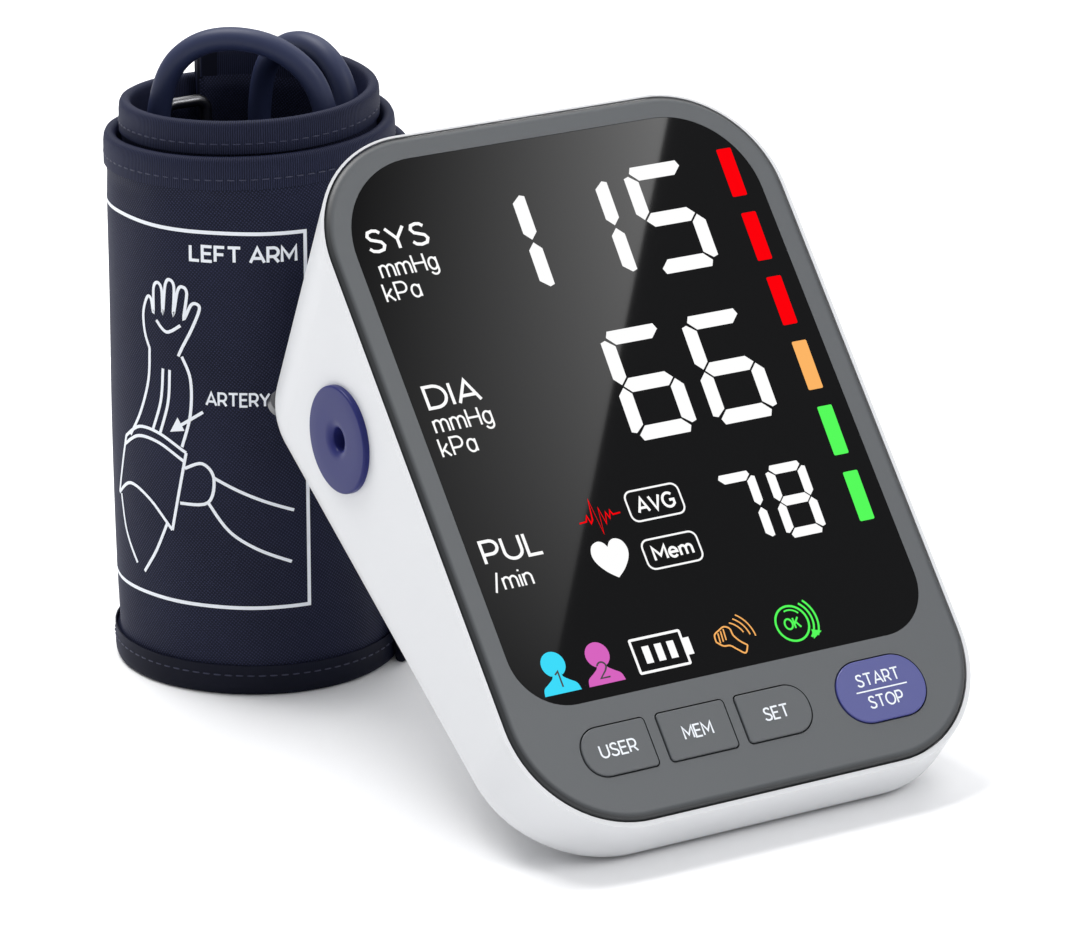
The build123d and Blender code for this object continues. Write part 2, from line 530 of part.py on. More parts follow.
def build():
    cavity = case_form(WALL)
    unit = {
        "back_case": back_case(cavity), "front_bezel": front_bezel(), "display_window": display_window(),
        "lcd_panel": lcd_panel(), "backlight": backlight(), "display_frame": display_frame(),
        "main_board": main_board(), "key_switches": key_switches(), "case_screws": case_screws(),
        "rubber_feet": rubber_feet(), "battery_door": battery_door(), "contact_plates": contact_plates(),
        "contact_springs": group(*[contact_spring(i) for i in range(4)]),
        "air_jack": air_jack(), "jack_nut": jack_nut(), "pump_motor": pump_motor(), "pump_head": pump_head(),
        "pump_clamp": pump_clamp(), "pump_crank": pump_crank(), "valve_body": valve_body(),
        "valve_plunger": valve_plunger(), "pressure_sensor": pressure_sensor(), "buzzer": buzzer(),
        "pump_tube": pump_tube(), "valve_tube": valve_tube(),
    }
    for name in KEY_NAMES:
        unit[name] = key_cap(name)
    for i in range(4):
        unit[f"battery_{i + 1}"] = cell(i)

    sleeve = cuff_sleeve()
    hose, radii, path = tube(HOSE_ROUTE, HOSE_D / 2, 0)
    print("hose length", round(path.length, 1), "smallest bend", round(min(radii), 1), "of", HOSE_D)
    cuff = {
        "cuff_sleeve": sleeve, "air_bladder": bladder_form(), "closing_bar": closing_bar(),
        "top_binding": edge_binding(sleeve, True), "bottom_binding": edge_binding(sleeve, False),
        "loop_patch": patch(False), "hook_patch": patch(True),
        "hose_port": hose_port(path), "air_hose": hose, "air_plug": air_plug(path),
    }

    # The unit is tipped back until its front edge meets the floor, and the cuff stands behind its rear edge.
    tipped = span([Rot(PANEL_TILT, 0, 0) * unit["back_case"]])
    lean = Pos(0, 0, -tipped.min.Z) * Rot(PANEL_TILT, 0, 0)
    near = half_turns()[1]
    stand = Pos(CUFF_X, tipped.max.Y + CUFF_GAP + near[1] - near[0].Y, 0)
    placed = {n: lean * p for n, p in unit.items()}
    placed.update({n: stand * p for n, p in cuff.items()})
    whole = span([p for n, p in placed.items() if n not in CORD_NODES])
    home = Pos(-(whole.min.X + whole.max.X) / 2, -(whole.min.Y + whole.max.Y) / 2, 0)
    placed = {n: home * p for n, p in placed.items()}
    return placed, {"unit": home * lean, "cuff": home * stand}


if __name__ == "__main__":
    os.makedirs("parts", exist_ok=True)
    placed, frames = build()
    for name, part in placed.items():
        export_step(part, f"parts/{name}.step")
    for name, place in frames.items():
        print(name, place)
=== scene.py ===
import bmesh
import bpy
import json
import math
from mathutils import Matrix, Vector, noise


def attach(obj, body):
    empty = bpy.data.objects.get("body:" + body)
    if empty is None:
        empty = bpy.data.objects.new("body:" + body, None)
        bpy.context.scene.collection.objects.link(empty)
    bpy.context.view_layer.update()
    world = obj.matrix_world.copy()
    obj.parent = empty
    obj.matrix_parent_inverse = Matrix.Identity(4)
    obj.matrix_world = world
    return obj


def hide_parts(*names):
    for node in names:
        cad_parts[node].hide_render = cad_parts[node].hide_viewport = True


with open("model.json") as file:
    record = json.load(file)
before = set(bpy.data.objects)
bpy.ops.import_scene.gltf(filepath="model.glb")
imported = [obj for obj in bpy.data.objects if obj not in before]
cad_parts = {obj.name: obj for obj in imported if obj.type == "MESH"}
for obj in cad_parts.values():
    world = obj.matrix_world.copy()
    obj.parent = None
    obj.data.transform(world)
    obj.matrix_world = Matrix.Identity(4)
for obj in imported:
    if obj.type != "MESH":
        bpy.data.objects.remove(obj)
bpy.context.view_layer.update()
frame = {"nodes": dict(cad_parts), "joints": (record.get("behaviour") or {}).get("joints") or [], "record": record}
NODES, RECORD = frame["nodes"], frame["record"]
MM = 0.001


# ---------------------------------------------------------------- places read from the frame
def joint_axis(name):
    return Vector(next(j["axis"] for j in frame["joints"] if j["name"] == name)).normalized()


def mount(name):
    return Vector(next(m["pos_m"] for m in RECORD["mounts"] if m["name"] == name))


OUT = -joint_axis("start_press")                 # out of the display panel
RIGHT = Vector((1, 0, 0))
UP = OUT.cross(RIGHT)


def span_along(node, axis):
    places = [v.co.dot(axis) for v in NODES[node].data.vertices]
    return min(places), max(places)


def panel_centre():
    x, y, z = (span_along("front_bezel", a) for a in (RIGHT, UP, OUT))
    return RIGHT * sum(x) / 2 + UP * sum(y) / 2 + OUT * z[1]


CENTRE = panel_centre()
PANEL = Matrix.Translation(CENTRE) @ Matrix((RIGHT, UP, OUT)).transposed().to_4x4()
BEZEL_LEFT, BEZEL_RIGHT = span_along("front_bezel", RIGHT)
W = (BEZEL_RIGHT - BEZEL_LEFT) / 100             # legends are laid out in hundredths of the bezel's width

# Roll of the cuff: a spiral whose radius falls by PITCH a turn, from the outer flap's end inwards.
BAND_T, PITCH = 2.2 * MM, 3.4 * MM
ROLL_R, FLAP_ANGLE, SWEEP = 34.45 * MM, -50.0, 860.0
ROLL_TOP, ROLL_CLIMB = 116.8 * MM, 7.0 * MM      # height of the flap's end, rise per turn
BINDING_H, BINDING_T = 7.0 * MM, 0.3 * MM
CUFF_FOOT = mount("cuff_base") - Vector((32.5 * MM, 0, 0))
ROLL_AXIS = CUFF_FOOT + 0.85 * MM * Vector((math.cos(math.radians(130)), math.sin(math.radians(130)), 0))

HOSE_D = 5.2 * MM
HOSE_ROUTE = [
    (-19.2, 9.5, 30.0), (-20.2, 9.2, 62.0), (-19.8, 10.4, 101.0), (-19.2, 9.5, 131.5),
    (-12.4, 2.0, 142.3), (-0.8, -10.8, 142.3), (7.2, -19.6, 131.5), (6.8, -20.0, 103.0),
    (6.2, -19.6, 75.0), (6.8, -20.0, 46.0), (7.2, -19.4, 22.3), (8.0, -9.0, 11.5),
    (9.2, 6.4, 11.5), (10.0, 17.4, 22.3), (10.5, 16.8, 45.0), (9.8, 17.8, 72.0),
    (10.5, 17.2, 98.0), (10.0, 17.4, 127.4), (11.8, 6.8, 137.5), (14.2, -6.2, 137.5),
    (15.8, -14.4, 127.4), (15.6, -13.8, 95.0), (14.6, -13.0, 69.0),
]


# ---------------------------------------------------------------- materials
GRAIN_DETAIL, GRAIN_STRENGTH = 4, 0.6


def srgb(r, g, b):
    """Linear colour of a 0 to 255 screen colour."""
    def linear(v):
        v /= 255
        return v / 12.92 if v <= 0.04045 else ((v + 0.055) / 1.055) ** 2.4
    return (linear(r), linear(g), linear(b), 1)


def plain(name, colour, rough=0.5, metal=0.0, **sockets):
    m = bpy.data.materials.new(name)
    m.use_nodes = True
    b = m.node_tree.nodes["Principled BSDF"]
    b.inputs["Base Color"].default_value = colour
    b.inputs["Roughness"].default_value = rough
    b.inputs["Metallic"].default_value = metal
    for socket, value in sockets.items():
        b.inputs[socket.replace("_", " ")].default_value = value
    return m


def nodes_of(m):
    return m.node_tree.nodes, m.node_tree.links, m.node_tree.nodes["Principled BSDF"]


def add_grain(m, scale, height, rough=None):
    """Fine moulded texture: bump, and a little unevenness of gloss."""
    n, l, b = nodes_of(m)
    coord, tex, bump = n.new("ShaderNodeTexCoord"), n.new("ShaderNodeTexNoise"), n.new("ShaderNodeBump")
    tex.inputs["Scale"].default_value, tex.inputs["Detail"].default_value = scale, GRAIN_DETAIL
    bump.inputs["Distance"].default_value = height
    bump.inputs["Strength"].default_value = GRAIN_STRENGTH
    l.new(coord.outputs["Object"], tex.inputs["Vector"])
    l.new(tex.outputs["Fac"], bump.inputs["Height"])
    l.new(bump.outputs["Normal"], b.inputs["Normal"])
    if rough:
        ramp = n.new("ShaderNodeMapRange")
        ramp.inputs["To Min"].default_value, ramp.inputs["To Max"].default_value = rough
        l.new(tex.outputs["Fac"], ramp.inputs["Value"])
        l.new(ramp.outputs["Result"], b.inputs["Roughness"])
    return m


def glow(name, colour):
    """Lit ink of the display: black body, so that its colour is only the light it gives."""
    return plain(name, (0, 0, 0, 1), 0.9, Emission_Color=colour, Emission_Strength=1.0, Specular_IOR_Level=0.0)


WAVE_SCALE = 0.314                               # scale of the wave texture that gives bands one metre apart


def woven(name, dark, light, threads, rib, angle, height, sheen=0.05, mottle=0.25):
    """Cloth on a UV map in metres: slanted twill or upright ribs, with a slow change of tone."""
    m = plain(name, dark, 0.62, Sheen_Weight=sheen, Sheen_Roughness=0.4, Sheen_Tint=srgb(60, 72, 140),
              Specular_IOR_Level=0.12)
    n, l, b = nodes_of(m)
    uv, turn = n.new("ShaderNodeUVMap"), n.new("ShaderNodeMapping")
    turn.inputs["Rotation"].default_value = (0, 0, math.radians(angle))
    warp, weft = n.new("ShaderNodeTexWave"), n.new("ShaderNodeTexWave")
    for wave, direction, pitch in ((warp, "X", threads), (weft, "Y", rib)):
        wave.bands_direction = direction
        wave.inputs["Scale"].default_value = WAVE_SCALE / pitch
        wave.inputs["Distortion"].default_value = 0.6
        wave.inputs["Detail Scale"].default_value = 2.0
        l.new(turn.outputs["Vector"], wave.inputs["Vector"])
    l.new(uv.outputs["UV"], turn.inputs["Vector"])
    both = n.new("ShaderNodeMath")
    both.operation = "MULTIPLY"
    l.new(warp.outputs["Fac"], both.inputs[0])
    l.new(weft.outputs["Fac"], both.inputs[1])
    tone, mix = n.new("ShaderNodeTexNoise"), n.new("ShaderNodeMath")
    tone.inputs["Scale"].default_value = 45
    l.new(uv.outputs["UV"], tone.inputs["Vector"])
    mix.operation = "MULTIPLY_ADD"
    mix.inputs[1].default_value = mottle
    l.new(tone.outputs["Fac"], mix.inputs[0])
    l.new(both.outputs["Value"], mix.inputs[2])
    ramp = n.new("ShaderNodeValToRGB")
    ramp.color_ramp.elements[0].color, ramp.color_ramp.elements[1].color = dark, light
    l.new(mix.outputs["Value"], ramp.inputs["Fac"])
    l.new(ramp.outputs["Color"], b.inputs["Base Color"])
    bump = n.new("ShaderNodeBump")
    bump.inputs["Distance"].default_value = height
    bump.inputs["Strength"].default_value = 0.8
    l.new(both.outputs["Value"], bump.inputs["Height"])
    l.new(bump.outputs["Normal"], b.inputs["Normal"])
    return m


# The second grey is painted shade, laid on where the bezel rolls over into the rim.
GREY, GREY_PAINTED_SHADE = srgb(76, 79, 82), srgb(34, 36, 38)


def bezel_grey():
    """Satin grey, with painted shade: darker where the face rolls over into the white rim."""
    m = add_grain(plain("grey_abs", GREY, 0.42), 2600, 0.000025, (0.4, 0.5))
    n, l, b = nodes_of(m)
    place, ramp, tone = n.new("ShaderNodeNewGeometry"), n.new("ShaderNodeMapRange"), n.new("ShaderNodeMix")
    normal = n.new("ShaderNodeVectorMath")
    normal.operation = "DOT_PRODUCT"
    normal.inputs[1].default_value = OUT
    l.new(place.outputs["True Normal"], normal.inputs[0])
    ramp.inputs["From Min"].default_value, ramp.inputs["From Max"].default_value = 0.995, 0.80
    l.new(normal.outputs["Value"], ramp.inputs["Value"])
    tone.data_type = "RGBA"
    # painted shade: the darker grey is mixed in as the surface turns away from the face
    tone.inputs["A"].default_value, tone.inputs["B"].default_value = GREY, GREY_PAINTED_SHADE
    l.new(ramp.outputs["Result"], tone.inputs["Factor"])
    l.new(tone.outputs["Result"], b.inputs["Base Color"])
    return m


def make_materials():
    dark, light = srgb(11, 13, 26), srgb(44, 48, 74)
    return {
        "white": add_grain(plain("white_abs", srgb(212, 213, 215), 0.38), 1800, 0.00002, (0.34, 0.44)),
        "grey": bezel_grey(),
        "key": add_grain(plain("grey_key", GREY, 0.42), 2600, 0.000025, (0.4, 0.5)),
        "window": plain("black_window", srgb(11, 11, 12), 0.02, Specular_IOR_Level=0.12),
        "blue": add_grain(plain("blue_abs", srgb(62, 66, 132), 0.36), 2600, 0.000015, (0.32, 0.42)),
        "jack": add_grain(plain("jack_blue", srgb(38, 41, 98), 0.42, Specular_IOR_Level=0.15),
                          1500, 0.00001, (0.26, 0.36)),
        "black": plain("black_part", srgb(22, 22, 23), 0.5),
        "steel": plain("steel", srgb(110, 110, 112), 0.3, 1.0),
        "nickel": plain("nickel", srgb(205, 200, 188), 0.22, 1.0),
        "rubber": add_grain(plain("foot_rubber", srgb(70, 72, 75), 0.8), 1500, 0.00003),
        "board": plain("board", srgb(24, 88, 48), 0.35),
        "frame": plain("light_frame", srgb(225, 225, 222), 0.55),
        "silicone": plain("silicone", srgb(200, 200, 195), 0.35, Subsurface_Weight=0.2),
        "jacket": plain("cell_jacket", srgb(28, 60, 110), 0.3),
        "nylon": woven("navy_nylon", dark, light, 0.0006, 0.0006, 38, 0.00008),
        "tape": woven("grosgrain", srgb(9, 11, 23), srgb(38, 42, 66), 0.0005, 0.08, 0, 0.0001, 0.1, 0.15),
        "thread": plain("thread", srgb(30, 34, 62), 0.6, Sheen_Weight=0.1),
        "hose": add_grain(plain("hose_pvc", srgb(36, 43, 72), 0.5, Specular_IOR_Level=0.3), 900, 0.00001, (0.44, 0.56)),
        "plug": plain("plug_blue", srgb(44, 48, 80), 0.45),
        "film": plain("bladder_film", srgb(60, 66, 96), 0.4),
        "print": plain("print_white", srgb(232, 236, 242), 0.6),
        "lit_white": glow("lit_white", (1, 1, 1, 1)),
        "lit_red": glow("lit_red", srgb(253, 2, 12)),
        "lit_orange": glow("lit_orange", srgb(253, 182, 102)),
        "lit_green": glow("lit_green", srgb(86, 252, 92)),
        "lit_cyan": glow("lit_cyan", srgb(62, 220, 250)),
        "lit_pink": glow("lit_pink", srgb(216, 101, 192)),
    }


MAT = make_materials()

NODE_MATERIALS = {
    "white": ["back_case", "battery_door"], "grey": ["front_bezel"], "key": ["user_button", "mem_button", "set_button"],
    "window": ["display_window"], "blue": ["start_button"], "jack": ["air_jack", "jack_nut"],
    "black": ["key_switches", "buzzer", "pressure_sensor", "pump_head", "pump_clamp", "lcd_panel"],
    "steel": ["case_screws", "closing_bar", "pump_motor", "pump_crank", "valve_body", "valve_plunger"],
    "nickel": ["contact_plates", "contact_springs"], "rubber": ["rubber_feet"], "board": ["main_board"],
    "frame": ["backlight", "display_frame"], "silicone": ["pump_tube", "valve_tube"],
    "jacket": [f"battery_{i}" for i in range(1, 5)], "film": ["air_bladder"],
    "nylon": ["cuff_sleeve", "hook_patch", "loop_patch"], "tape": ["top_binding", "bottom_binding"],
    "hose": ["air_hose"], "plug": ["air_plug", "hose_port"],
}


NODE_EDGE, PIECE_EDGE, SOCKET_EDGE = (math.radians(a) for a in (28, 40, 35))   # sharper folds are shaded as edges


def dress_nodes():
    for key, names in NODE_MATERIALS.items():
        for name in names:
            mesh = NODES[name].data
            mesh.materials.clear()
            mesh.materials.append(MAT[key])
            mesh.shade_smooth()
            mesh.set_sharp_from_angle(angle=NODE_EDGE)


# ---------------------------------------------------------------- meshes
def mesh_piece(name, verts, faces, material, body, uv=None):
    mesh = bpy.data.meshes.new(name)
    mesh.from_pydata([tuple(v) for v in verts], [], faces)
    mesh.materials.append(MAT[material])
    if uv:
        layer = mesh.uv_layers.new(name="UVMap")
        for loop in mesh.loops:
            layer.data[loop.index].uv = uv[loop.vertex_index]
    mesh.validate()
    mesh.shade_smooth()
    mesh.set_sharp_from_angle(angle=PIECE_EDGE)
    obj = bpy.data.objects.new(name, mesh)
    bpy.context.scene.collection.objects.link(obj)
    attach(obj, body)
    return obj


def ring_faces(rows, count, closed_rows=False, start=0):
    """Quads of a tube of rows, each a closed ring of points, with flat ends unless the rows close up."""
    faces = []
    for i in range(rows if closed_rows else rows - 1):
        for j in range(count):
            a, b = start + i * count, start + (i + 1) % rows * count
            faces.append((a + j, a + (j + 1) % count, b + (j + 1) % count, b + j))
    if not closed_rows:
        faces.append(tuple(start + j for j in reversed(range(count))))
        faces.append(tuple(start + (rows - 1) * count + j for j in range(count)))
    return faces


# ---------------------------------------------------------------- flat drawings
class Drawing:
    """Flat shapes in a plane, kept as outlines, that become thin solids on the panel or on the cuff."""

    def __init__(self):
        self.outlines = []

    def shape(self, points):
        self.outlines.append([tuple(p) for p in points])

    def line(self, points, width, closed=False):
        """A stroke of even width along a polyline."""
        pts = [Vector(p) for p in points]
        count = len(pts)
        left, right = [], []
        for i, p in enumerate(pts):
            before = pts[i - 1] if i or closed else p
            after = pts[(i + 1) % count] if i < count - 1 or closed else p
            d1, d2 = p - before, after - p
            d1 = d1.normalized() if d1.length else d2.normalized()
            d2 = d2.normalized() if d2.length else d1
            t = (d1 + d2).normalized() if (d1 + d2).length > 1e-6 else d1
            n = Vector((-t.y, t.x))
            reach = min(width / 2 / max(n.dot(Vector((-d1.y, d1.x))), 0.35), width)
            left.append(p + n * reach)
            right.append(p - n * reach)
        for i in range(count if closed else count - 1):
            k = (i + 1) % count
            self.shape([right[i], right[k], left[k], left[i]])

    def box(self, x0, x1, y0, y1, radius, width):
        self.line(rounded(x0, x1, y0, y1, radius), width, closed=True)


def rounded(x0, x1, y0, y1, radius, steps=5):
    points = []
    for cx, cy, start in ((x1, y1, 0), (x0, y1, 90), (x0, y0, 180), (x1, y0, 270)):
        ox, oy = cx - math.copysign(radius, cx - x0 - 1e-9), cy - math.copysign(radius, cy - y0 - 1e-9)
        for i in range(steps + 1):
            a = math.radians(start + 90 * i / steps)
            points.append((ox + radius * math.cos(a), oy + radius * math.sin(a)))
    return points


def smooth(points, steps=6):
    """A rounded path through a few points."""
    pts = [Vector(p) for p in points]
    out = []
    for i in range(len(pts) - 1):
        p0, p1, p2, p3 = pts[max(i - 1, 0)], pts[i], pts[i + 1], pts[min(i + 2, len(pts) - 1)]
        for s in range(steps):
            t = s / steps
            out.append(0.5 * (2 * p1 + (p2 - p0) * t + (2 * p0 - 5 * p1 + 4 * p2 - p3) * t * t
                              + (3 * p1 - p0 - 3 * p2 + p3) * t ** 3))
    return out + [pts[-1]]


def around(cx, cy, rx, ry, a0, a1, steps=10):
    """Points of an ellipse's arc, from one angle to another."""
    angles = [math.radians(a0 + (a1 - a0) * i / steps) for i in range(steps + 1)]
    return [(cx + rx * math.cos(a), cy + ry * math.sin(a)) for a in angles]


S_CURVE = [(0.62, 0.85), (0.50, 0.97), (0.33, 1.0), (0.13, 0.94), (0.06, 0.76), (0.16, 0.59), (0.36, 0.51),
           (0.57, 0.42), (0.66, 0.25), (0.57, 0.06), (0.33, 0.0), (0.12, 0.05), (0.0, 0.18)]
# Plain sans-serif letters as strokes: width, then polylines, with capitals one unit high.
STROKES = {
    "A": (0.86, [(0, 0), (0.43, 1), (0.86, 0)], [(0.15, 0.3), (0.71, 0.3)]),
    "D": (0.80, [(0.34, 0), (0, 0), (0, 1), (0.34, 1), *around(0.34, 0.5, 0.46, 0.5, 80, -80), (0.34, 0)]),
    "E": (0.60, [(0.60, 1), (0, 1), (0, 0), (0.60, 0)], [(0, 0.52), (0.54, 0.52)]),
    "F": (0.58, [(0.58, 1), (0, 1), (0, 0)], [(0, 0.5), (0.52, 0.5)]),
    "G": (0.86, [*around(0.47, 0.5, 0.47, 0.5, 48, 318, 18), (0.86, 0.2), (0.86, 0.48), (0.52, 0.48)]),
    "H": (0.74, [(0, 0), (0, 1)], [(0.74, 0), (0.74, 1)], [(0, 0.5), (0.74, 0.5)]),
    "I": (0.0, [(0, 0), (0, 1)]),
    "K": (0.68, [(0, 0), (0, 1)], [(0.62, 1), (0.02, 0.4)], [(0.22, 0.6), (0.68, 0)]),
    "L": (0.56, [(0, 1), (0, 0), (0.56, 0)]),
    "M": (0.88, [(0, 0), (0, 1), (0.44, 0.3), (0.88, 1), (0.88, 0)]),
    "O": (0.94, [*around(0.47, 0.5, 0.47, 0.5, 0, 360, 28)]),
    "P": (0.64, [(0, 0), (0, 1), (0.36, 1), *around(0.36, 0.7, 0.28, 0.3, 80, -80), (0.36, 0.4), (0, 0.4)]),
    "R": (0.66, [(0, 0), (0, 1), (0.36, 1), *around(0.36, 0.7, 0.28, 0.3, 80, -80), (0.36, 0.4), (0, 0.4)],
          [(0.36, 0.4), (0.66, 0)]),
    "S": (0.66, S_CURVE),
    "T": (0.78, [(0, 1), (0.78, 1)], [(0.39, 1), (0.39, 0)]),
    "U": (0.72, [(0, 1), (0, 0.36), *around(0.36, 0.36, 0.36, 0.36, 190, 350), (0.72, 0.36), (0.72, 1)]),
    "V": (0.82, [(0, 1), (0.41, 0), (0.82, 1)]),
    "Y": (0.78, [(0, 1), (0.39, 0.46), (0.78, 1)], [(0.39, 0.46), (0.39, 0)]),
    "a": (0.50, [(0.5, 0.7), (0.5, 0)], [*around(0.26, 0.35, 0.25, 0.35, 20, 340, 20)]),
    "e": (0.58, [(0.02, 0.38), (0.57, 0.38), *around(0.29, 0.36, 0.28, 0.36, 5, 320, 20)]),
    "g": (0.52, [(0.52, 0.7), (0.52, -0.02), *around(0.27, -0.04, 0.25, 0.24, -10, -160)],
          [*around(0.27, 0.35, 0.26, 0.34, 20, 340, 20)]),
    "i": (0.0, [(0, 0), (0, 0.7)], [(0, 0.9), (0, 1.0)]),
    "k": (0.46, [(0, 0), (0, 1.02)], [(0.44, 0.7), (0.02, 0.26)], [(0.16, 0.4), (0.48, 0)]),
    "m": (0.86, [(0, 0), (0, 0.7)], [(0, 0.4), *around(0.215, 0.45, 0.215, 0.25, 170, 10), (0.43, 0.4), (0.43, 0)],
          [(0.43, 0.4), *around(0.645, 0.45, 0.215, 0.25, 170, 10), (0.86, 0.4), (0.86, 0)]),
    "n": (0.48, [(0, 0), (0, 0.7)], [(0, 0.4), *around(0.24, 0.44, 0.24, 0.26, 170, 10), (0.48, 0.4), (0.48, 0)]),
    "/": (0.40, [(0, -0.08), (0.40, 1.06)]),
    "1": (0.22, [(0, 0.82), (0.22, 1.0), (0.22, 0)]),
    "2": (0.58, [(0.02, 0.80), *around(0.29, 0.72, 0.27, 0.28, 150, -20, 10), (0.42, 0.42), (0.0, 0.0), (0.60, 0.0)]),
    " ": (0.18,),
}
LETTER_GAP = 0.22


def write(drawing, text, x0, x1, y0, height, pen):
    """Adds lettering with capitals of the given height, spread from x0 to x1."""
    widths = [STROKES[c][0] for c in text]
    kx = (x1 - x0 - pen) / (sum(widths) + LETTER_GAP * (len(text) - 1))
    x, ky = x0 + pen / 2, height - pen
    for char, width in zip(text, widths):
        for stroke in STROKES[char][1:]:
            drawing.line([(x + px * kx, y0 + pen / 2 + py * ky) for px, py in stroke], pen)
        x += (width + LETTER_GAP) * kx


def as_solid(drawing, place, thickness):
    """Vertices and faces of the drawing, merged, laid by place(x, y, height) and given a thickness."""
    bm = bmesh.new()
    for outline in drawing.outlines:
        corners = [bm.verts.new((x, y, 0)) for x, y in outline]
        bm.faces.new(corners)
    bmesh.ops.remove_doubles(bm, verts=bm.verts, dist=1e-7)
    bmesh.ops.recalc_face_normals(bm, faces=bm.faces)
    for f in bm.faces:
        if f.normal.z < 0:
            f.normal_flip()
    top = [(v.co.x, v.co.y) for v in bm.verts]
    bm.verts.ensure_lookup_table()
    faces = [tuple(v.index for v in f.verts) for f in bm.faces]
    rims = [(loop.vert.index, loop.link_loop_next.vert.index)
            for f in bm.faces for loop in f.loops if loop.edge.is_boundary]
    bm.free()
    count = len(top)
    verts = [place(x, y, thickness) for x, y in top] + [place(x, y, 0) for x, y in top]
    solid = faces + [tuple(reversed([i + count for i in f])) for f in faces]
    solid += [(b, a, a + count, b + count) for a, b in rims]
    return verts, solid


def on_panel(lift):
    """Places a drawing in hundredths of the bezel's width on the panel, lifted clear of it."""
    def place(x, y, height):
        return PANEL @ Vector((x * W, y * W, lift + height))
    return place


LEGEND_T, LEGEND_LIFT = 0.04 * MM, 0.02 * MM
BOLD_PEN, THIN_PEN, KEY_PEN, START_PEN = 0.62, 0.4, 0.34, 0.32


def legend(name, drawing, material, body="monitor", lift=LEGEND_LIFT):
    verts, faces = as_solid(drawing, on_panel(lift), LEGEND_T)
    obj = mesh_piece(name, verts, faces, material, body)
    obj.data.shade_flat()
    return obj


# ---------------------------------------------------------------- display
SLANT = 0.03
SEGMENTS = {"1": "bc", "5": "acdfg", "6": "acdefg", "7": "abc", "8": "abcdefg"}


def seven_segment(drawing, char, x0, y0, w, h, t):
    """One seven-segment digit with cut corners, from its lower left corner."""
    half, gap, cut = h / 2, 0.1 * t, 0.62 * t

    def put(points):
        drawing.shape([(x0 + x + SLANT * y, y0 + y) for x, y in points])
    top = [(cut + gap, h), (w - cut - gap, h), (w - 0.42 * t - gap, h - 0.42 * t), (w - t - gap, h - t),
           (t + gap, h - t), (0.42 * t + gap, h - 0.42 * t)]
    middle = [(t + gap, half + t / 2), (w - t - gap, half + t / 2), (w - t / 2 - gap, half),
              (w - t - gap, half - t / 2), (t + gap, half - t / 2), (t / 2 + gap, half)]
    lower_left = [(0, cut + gap), (0.36 * t, 0.5 * t + gap), (t, t + gap), (t, half - t / 2 - gap),
                  (t / 2, half - gap), (0, half - t / 2 - gap)]
    shapes = {
        "a": top, "g": middle, "e": lower_left, "d": [(x, h - y) for x, y in reversed(top)],
        "f": [(x, h - y) for x, y in reversed(lower_left)], "c": [(w - x, y) for x, y in reversed(lower_left)],
        "b": [(w - x, h - y) for x, y in lower_left],
    }
    for segment in SEGMENTS[char]:
        put(shapes[segment])


def readings():
    d = Drawing()
    big, small = (14.4, 22.6, 2.9), (8.9, 14.9, 1.9)
    for char, x, y, size in (("1", -21.3, 33.0, big), ("1", -2.9, 33.0, big), ("5", 15.4, 33.0, big),
                             ("6", -2.7, 1.2, big), ("6", 15.5, 1.2, big),
                             ("7", 10.0, -23.4, small), ("8", 21.4, -23.4, small)):
        seven_segment(d, char, x, y, *size)
    legend("reading_digits", d, "lit_white")


def level_bars():
    colours = ["lit_red"] * 3 + ["lit_orange"] + ["lit_green"] * 2
    for i, colour in enumerate(colours):
        x, y, w, h = 37.9, 46.1 - 13.8 * i, 3.3, 10.2
        d = Drawing()
        corners = rounded(x, x + w, y, y + h, 0.3, 3)
        d.shape([(px + SLANT * (py - y), py) for px, py in corners])
        legend(f"level_bar_{i + 1}", d, colour)


def row_labels():
    d = Drawing()
    for text, x0, x1, y, height, pen in (
        ("SYS", -42.2, -29.0, 47.2, 4.9, BOLD_PEN),
        ("mmHg", -41.6, -29.2, 42.0, 3.9, THIN_PEN), ("kPa", -42.4, -34.6, 37.2, 3.9, THIN_PEN),
        ("DIA", -42.1, -30.4, 15.0, 4.9, BOLD_PEN),
        ("mmHg", -42.4, -29.8, 10.2, 3.9, THIN_PEN), ("kPa", -42.8, -35.0, 5.4, 3.9, THIN_PEN),
        ("PUL", -42.3, -29.6, -16.5, 4.9, BOLD_PEN), ("/min", -42.3, -33.8, -21.9, 3.7, THIN_PEN),
        ("AVG", -7.6, 0.9, -12.7, 3.3, 0.52), ("Mem", -7.9, 0.9, -22.4, 3.1, 0.5),
    ):
        write(d, text, x0, x1, y, height, pen)
    legend("row_labels", d, "lit_white")
    frames = Drawing()
    frames.box(-9.3, 2.4, -14.1, -8.0, 1.5, 0.36)
    frames.box(-9.6, 2.4, -23.8, -17.9, 1.5, 0.36)
    legend("label_frames", frames, "lit_white")


def pulse_icons():
    trace = Drawing()
    beat = [(-20.4, -12.2), (-18.9, -12.1), (-18.4, -11.0), (-18.0, -12.6), (-17.5, -12.0), (-16.9, -8.0),
            (-16.2, -15.0), (-15.5, -9.9), (-14.9, -13.2), (-14.3, -11.0), (-13.8, -12.3),
            (-13.3, -10.8), (-12.9, -11.7), (-11.3, -11.6)]
    trace.line(beat, 0.3)
    legend("pulse_trace", trace, "lit_red")
    heart = Drawing()
    lobe = [(0, -3.9), (-1.9, -2.4), (-3.4, -0.5), (-3.9, 1.3), (-3.3, 3.0), (-1.9, 3.7), (-0.7, 3.3), (0, 2.3)]
    left = smooth(lobe)
    outline = [(-16.5 + x, -20.0 + y) for x, y in left]
    outline += [(-16.5 - x, -20.0 + y) for x, y in left[-2:0:-1]]
    heart.shape(outline[::-1])
    legend("heart_icon", heart, "lit_white")


def bust(cx, cy):
    """Head and shoulders, as one outline."""
    side = smooth([(-1.0, 0.2), (-1.15, -0.5), (-2.2, -1.3), (-3.5, -2.2), (-3.9, -3.6)], 4)
    head = around(0, 2.1, 2.5, 2.5, -62, 242, 24)
    outline = head + side + [(-x, y) for x, y in reversed(side)]
    return [(cx + x, cy + y) for x, y in outline]


